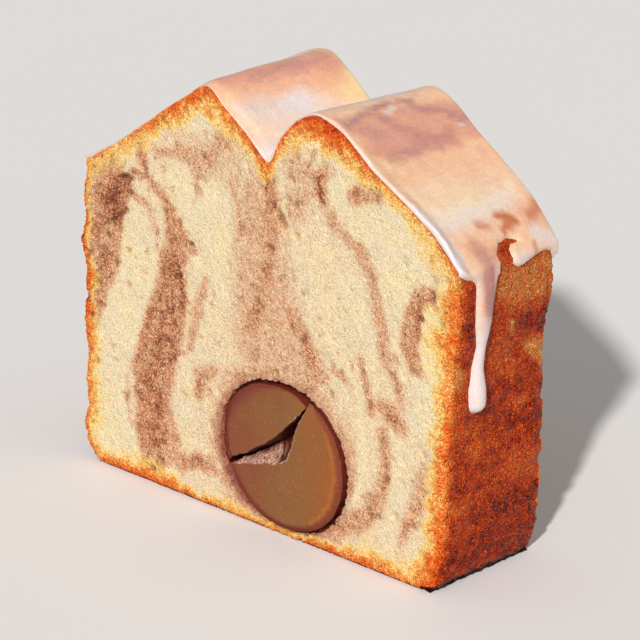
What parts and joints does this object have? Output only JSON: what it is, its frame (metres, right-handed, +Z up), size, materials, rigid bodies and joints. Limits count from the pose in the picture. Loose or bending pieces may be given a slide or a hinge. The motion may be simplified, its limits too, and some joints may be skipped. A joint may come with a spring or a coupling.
{
  "type": "chestnut pound cake slice",
  "caption": "Upright slice of a marbled loaf cake with a cleft domed top, a cut glazed chestnut low in its face and thin drippy icing.",
  "frame": {"origin": "middle of the foot that the slice stands on", "axes": "+X across the loaf towards the baked side with the long drip, +Y along the loaf away from the main cut, +Z up"},
  "size_m": [0.0898, 0.025, 0.0765],
  "materials": {
    "crumb": "open crumb marbled cream and brown, with an orange-brown baked crust",
    "chestnut": "smooth, slightly glossy cut chestnut with a dark syrupy rim",
    "icing": "thin glossy sugar icing, white where thick and peach where the crust shows through"
  },
  "bodies": {
    "root": {"cake": "crumb", "chestnut_small": "chestnut", "chestnut_large": "chestnut", "icing": "icing"}
  },
  "joints": []
}
